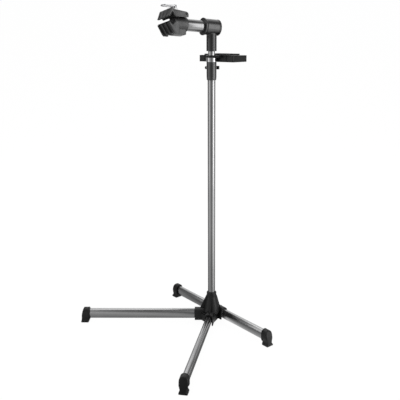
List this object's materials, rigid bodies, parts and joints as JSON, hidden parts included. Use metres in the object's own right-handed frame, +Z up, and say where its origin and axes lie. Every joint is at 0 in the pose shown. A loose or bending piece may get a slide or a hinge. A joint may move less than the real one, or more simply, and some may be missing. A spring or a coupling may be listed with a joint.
{
  "type": "bicycle repair stand",
  "caption": "Floor stand with folding legs, a telescopic mast, a swivelling tool tray and a turning screw clamp that holds a bicycle for repair.",
  "frame": {"origin": "on the floor under the middle of the stand's outline seen from above; the mast stands 146 mm behind it", "axes": "+Z up along the mast; -X forward, between the two long legs; the short legs lie along Y"},
  "size_m": [0.5218, 0.6896, 1.1916],
  "materials": {
    "silver": "satin silver tube",
    "black": "black moulded plastic with a slight sheen",
    "rubber": "matt dark grey",
    "chrome": "bright",
    "zinc": "zinc plated",
    "bush": "plain moulded grey"
  },
  "bodies": {
    "base": {"base_hub": "black", "mast_screw": "zinc", "mast_tube": "silver", "height_clamp": "black", "clamp_bolt": "zinc", "clamp_nut": "zinc", "cam_pin": "zinc", "front_left_leg_pin": "zinc", "front_right_leg_pin": "zinc", "side_left_leg_pin": "zinc", "side_right_leg_pin": "zinc"},
    "front_left_leg": {"front_left_knuckle": "bush", "front_left_leg_tube": "silver", "front_left_foot": "black"},
    "front_right_leg": {"front_right_knuckle": "bush", "front_right_leg_tube": "silver", "front_right_foot": "black"},
    "side_left_leg": {"side_left_knuckle": "bush", "side_left_leg_tube": "silver", "side_left_foot": "black"},
    "side_right_leg": {"side_right_knuckle": "bush", "side_right_leg_tube": "silver", "side_right_foot": "black"},
    "height_lever": {"cam_lever": "black"},
    "slider": {"slide_bush": "bush"},
    "head": {"inner_tube": "silver", "stop_collar": "chrome", "collar_screw": "zinc", "tee_piece": "black"},
    "tray": {"tool_tray": "black", "tray_band": "black", "tray_screw_left": "zinc", "tray_screw_right": "zinc"},
    "arm_lock": {"lock_knob": "black", "draw_bolt": "zinc"},
    "arm": {"arm_tube": "silver", "arm_plug": "zinc", "clamp_body": "black", "arm_screw": "zinc", "lower_pad": "rubber", "barrel_nut": "zinc", "jaw_pin": "zinc"},
    "jaw": {"upper_jaw": "black", "upper_pad": "rubber"},
    "thrust": {"thrust_barrel": "zinc"},
    "screw": {"clamp_screw": "chrome", "handle_loop": "chrome"}
  },
  "joints": [
    {"name": "front_left_fold", "type": "hinge", "parent": "base", "child": "front_left_leg", "pos_m": [0.11076, -0.02957, 0.034], "axis": [0.6428, -0.766, 0], "range_deg": [0, 80]},
    {"name": "front_right_fold", "type": "hinge", "parent": "base", "child": "front_right_leg", "pos_m": [0.11076, 0.02957, 0.034], "axis": [-0.6428, -0.766, 0], "range_deg": [0, 80]},
    {"name": "side_left_fold", "type": "hinge", "parent": "base", "child": "side_left_leg", "pos_m": [0.1815, -0.0225, 0.034], "axis": [1, 0, 0], "range_deg": [0, 80]},
    {"name": "side_right_fold", "type": "hinge", "parent": "base", "child": "side_right_leg", "pos_m": [0.1815, 0.0225, 0.034], "axis": [-1, 0, 0], "range_deg": [0, 80]},
    {"name": "height_lever_open", "type": "hinge", "parent": "base", "child": "height_lever", "pos_m": [0.18018, 0.00526, 0.981], "axis": [0, 0, -1], "range_deg": [0, 130]},
    {"name": "height_slide", "type": "slide", "parent": "base", "child": "slider", "axis": [0, 0, 1], "range_m": [0, 0.45]},
    {"name": "head_turn", "type": "hinge", "parent": "slider", "child": "head", "pos_m": [0.146, 0, 1.05], "axis": [0, 0, 1], "continuous": true},
    {"name": "tray_swivel", "type": "hinge", "parent": "head", "child": "tray", "pos_m": [0.146, 0, 1.02], "axis": [0, 0, 1], "continuous": true},
    {"name": "arm_lock_turn", "type": "hinge", "parent": "head", "child": "arm_lock", "pos_m": [0.146, 0, 1.119], "axis": [-0.9825, 0.1732, 0.068], "continuous": true},
    {"name": "arm_roll", "type": "hinge", "parent": "head", "child": "arm", "pos_m": [0.146, 0, 1.119], "axis": [-0.9825, 0.1732, 0.068], "continuous": true},
    {"name": "jaw_open", "type": "hinge", "parent": "arm", "child": "jaw", "pos_m": [0.03876, 0.02329, 1.15725], "axis": [0.1626, 0.9769, -0.1389], "range_deg": [-8, 12]},
    {"name": "screw_lift", "type": "slide", "parent": "arm", "child": "thrust", "axis": [0.0905, 0.1254, 0.988], "range_m": [-0.0042, 0.0063]},
    {"name": "screw_turn", "type": "hinge", "parent": "thrust", "child": "screw", "pos_m": [0.00829, 0.02711, 1.14842], "axis": [0.0905, 0.1254, 0.988], "range_deg": [-375, 564]}
  ],
  "couplings": [
    {"joint": "jaw_open", "follows": "screw_turn", "ratio": 0.021221},
    {"joint": "screw_lift", "follows": "screw_turn", "m_per_rad": 0.00063662}
  ]
}
